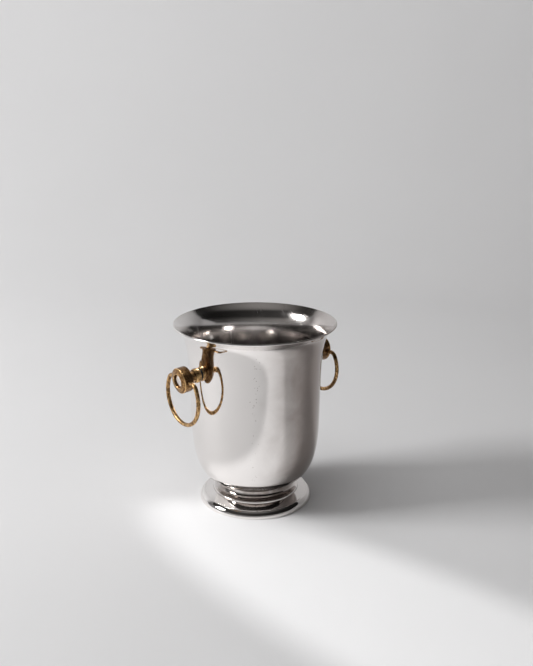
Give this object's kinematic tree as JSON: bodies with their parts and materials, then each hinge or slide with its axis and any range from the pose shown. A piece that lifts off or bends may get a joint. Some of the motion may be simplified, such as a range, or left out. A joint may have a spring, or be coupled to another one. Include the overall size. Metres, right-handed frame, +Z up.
{
  "type": "champagne bucket",
  "caption": "Small polished silver champagne bucket with a flared lip and stepped foot, and hanging brass ring handles that swing on turned bosses.",
  "frame": {"origin": "centre of the foot's underside, on the surface that the bucket stands on", "axes": "+Z up along the bucket's axis; the two handles stand out along +X (right) and -X (left)"},
  "size_m": [0.1492, 0.132, 0.152],
  "materials": {
    "silver": "polished",
    "bolt": "polished",
    "brass": "satin",
    "steel": "satin",
    "rubber": "matte"
  },
  "bodies": {
    "bucket": {"bowl": "silver", "neck_ring": "silver", "foot_shell": "silver", "foot_rim": "silver", "left_handle_drum": "brass", "left_handle_stem": "brass", "left_handle_bolt": "bolt", "left_wall_gasket": "rubber", "left_inner_seal": "rubber", "left_inner_washer": "steel", "left_dome_nut": "steel", "right_handle_drum": "brass", "right_handle_stem": "brass", "right_handle_bolt": "bolt", "right_wall_gasket": "rubber", "right_inner_seal": "rubber", "right_inner_washer": "steel", "right_dome_nut": "steel"},
    "left_ring": {"left_ring": "brass"},
    "right_ring": {"right_ring": "brass"}
  },
  "joints": [
    {"name": "left_ring_swing", "type": "hinge", "parent": "bucket", "child": "left_ring", "pos_m": [-0.0695, 0, 0.1168], "axis": [0, 1, 0], "range_deg": [-23, 183]},
    {"name": "right_ring_swing", "type": "hinge", "parent": "bucket", "child": "right_ring", "pos_m": [0.0695, 0, 0.1168], "axis": [0, -1, 0], "range_deg": [-23, 183]}
  ]
}
